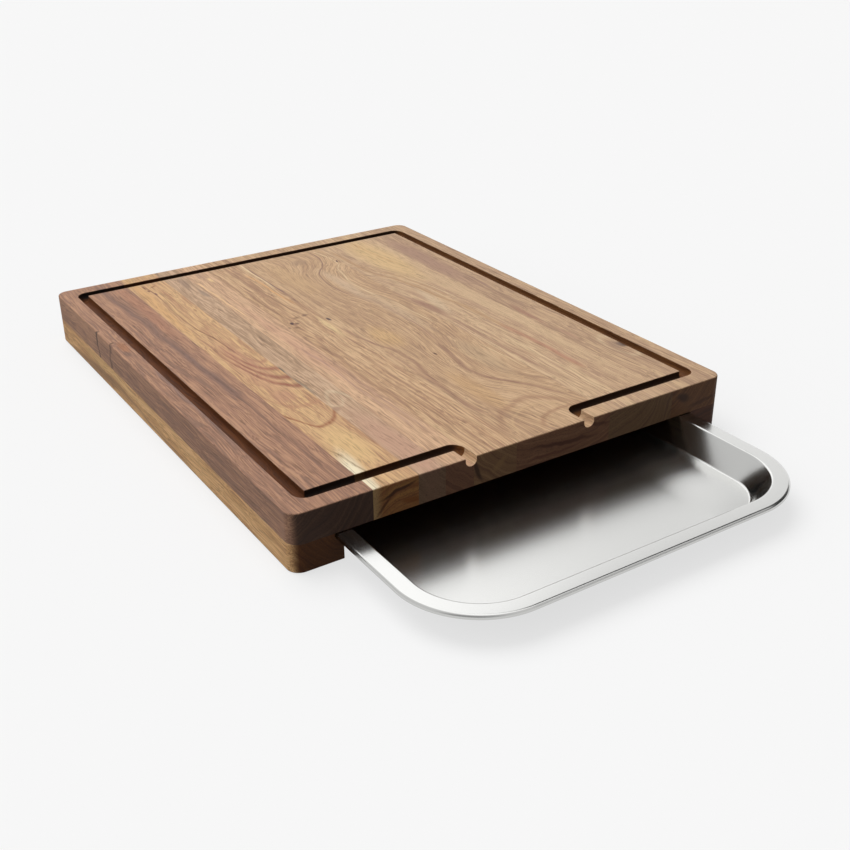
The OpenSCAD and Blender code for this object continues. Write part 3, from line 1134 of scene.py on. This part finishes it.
def shown(tree):
    """1 for rays that come from the camera or from a mirror-like surface before any matt one, and
    0 for the rest."""
    path = add(tree, "LightPath").outputs
    direct = {0: path["Is Camera Ray"], 1: path["Is Glossy Ray"]}
    direct = add(tree, "Math", direct, operation="MAXIMUM")
    matt = add(tree, "Math", {0: path["Diffuse Depth"], 1: 0.5}, operation="LESS_THAN")
    return add(tree, "Math", {0: direct, 1: matt}, operation="MULTIPLY")


bpy.ops.object.select_all(action="DESELECT")
bpy.ops.mesh.primitive_plane_add(size=12, location=(0, 0, -0.2 * MM))
floor = bpy.context.object
floor.name = "studio_floor"
paper, tree, shader = start_material("pale_paper")
seen = shown(tree)
shade = add(tree, "Mix", {0: seen, 6: FLOOR_TONES[0], 7: FLOOR_TONES[1]}, data_type="RGBA")
path = add(tree, "LightPath").outputs
once = add(tree, "Math", {0: path["Glossy Depth"], 1: 1.5}, operation="LESS_THAN")
level = add(tree, "Mix", {0: path["Is Camera Ray"], 2: GLOW_IN_MIRROR, 3: GLOW_IN_CAMERA})
glow = add(tree, "Math", {0: seen, 1: level}, operation="MULTIPLY")
glow = add(tree, "Math", {0: glow, 1: once}, operation="MULTIPLY")
feed(shader, {"Base Color": shade, "Roughness": 1.0, "Specular IOR Level": 0.0})
feed(shader, {"Emission Color": "#ffffff", "Emission Strength": glow})
finish(floor, paper)
print("floor laid, its top at, mm:", round(floor.location.z / MM, 1))

# %% [markdown]
# ## The light
# Two very large lamps give the soft light of a product photo. The main one hangs above and behind,
# so the top is bright and the end grain at the front stays dark. The steel doesn't mirror them. It
# mirrors the world, whose strength is drawn by direction, as a photographer builds it from white
# cards: dim on the left and toward the front, brightest on the right, weaker at the far right, and
# with one dark card there, called a flag, for the dark patch in the tray's corner. The camera sees
# an even pale background, and matt surfaces get only a weak fill.

# %% Light the studio
# directions run from -1 to 1: x to the right, y to the back and z up
LEFT_TO_RIGHT = {"From Min": -0.5, "From Max": 0.2, "To Min": 0.7, "To Max": 1.38}
FAR_RIGHT = {"From Min": 0.45, "From Max": 0.6, "To Max": 0.34}
FRONT_TO_BACK = {"From Min": -0.45, "From Max": -0.1, "To Min": 0.5}
FLAG_FOOT = {"From Max": 0.12, "To Max": 0.95}
FLAG_SIDE = {"From Min": 0.35, "From Max": 0.5}
FLAG_TOP = {"From Min": 0.95, "From Max": 0.8}
FILL, FILL_AFTER_MIRROR, BACKGROUND = 0.26, 0.05, 0.91

world = bpy.data.worlds.new("studio")
bpy.context.scene.world = world
world.use_nodes = True
tree = world.node_tree
tree.nodes.clear()
toward = add(tree, "SeparateXYZ", {0: add(tree, "TexCoord").outputs["Generated"]}).outputs
rise = add(tree, "MapRange", {"Value": toward["X"], **LEFT_TO_RIGHT}, **SOFT)
fall = add(tree, "MapRange", {"Value": toward["X"], **FAR_RIGHT}, **SOFT)
bright = add(tree, "Math", {0: rise, 1: fall}, operation="SUBTRACT")
dim = add(tree, "MapRange", {"Value": toward["Y"], **FRONT_TO_BACK})
bright = add(tree, "Math", {0: bright, 1: dim}, operation="MULTIPLY")
steep = add(tree, "Math", {0: toward["Z"], 1: toward["Y"]}, operation="SUBTRACT")
flag = add(tree, "MapRange", {"Value": steep, **FLAG_FOOT}, **SOFT)
for value, edge in ((toward["X"], FLAG_SIDE), (steep, FLAG_TOP)):
    within = add(tree, "MapRange", {"Value": value, **edge}, **SOFT)
    flag = add(tree, "Math", {0: flag, 1: within}, operation="MULTIPLY")
lit = add(tree, "Math", {0: 1.0, 1: flag}, operation="SUBTRACT")
bright = add(tree, "Math", {0: bright, 1: lit}, operation="MULTIPLY")
path = add(tree, "LightPath").outputs
mirrored = add(tree, "Math", {0: path["Glossy Depth"], 1: 0.5}, operation="GREATER_THAN")
fill = add(tree, "Mix", {0: mirrored, 2: FILL, 3: FILL_AFTER_MIRROR})
strength = add(tree, "Mix", {0: shown(tree), 2: fill, 3: bright})
strength = add(tree, "Mix", {0: path["Is Camera Ray"], 2: strength, 3: BACKGROUND})
sky = add(tree, "Background", {"Color": "#ffffff", "Strength": strength})
add(tree, "OutputWorld", {"Surface": sky})


def far_lamp(name, direction, spread, strength):
    """A large lamp, spread degrees wide, so far off that the floor is lit evenly. The steel
    doesn't mirror it."""
    data = bpy.data.lights.new(name, "SUN")
    data.angle = math.radians(spread)
    data.energy = strength
    lamp = bpy.data.objects.new(name, data)
    bpy.context.scene.collection.objects.link(lamp)
    lamp.rotation_euler = Vector(direction).to_track_quat("Z", "Y").to_euler()
    lamp.visible_glossy = False


far_lamp("top_softbox", direction=(-0.15, 0.55, 1.0), spread=50, strength=2.25)
far_lamp("left_fill", direction=(-1.0, 0.15, 0.45), spread=60, strength=0.92)
bpy.context.scene.view_settings.view_transform = "Standard"
print("studio ready")
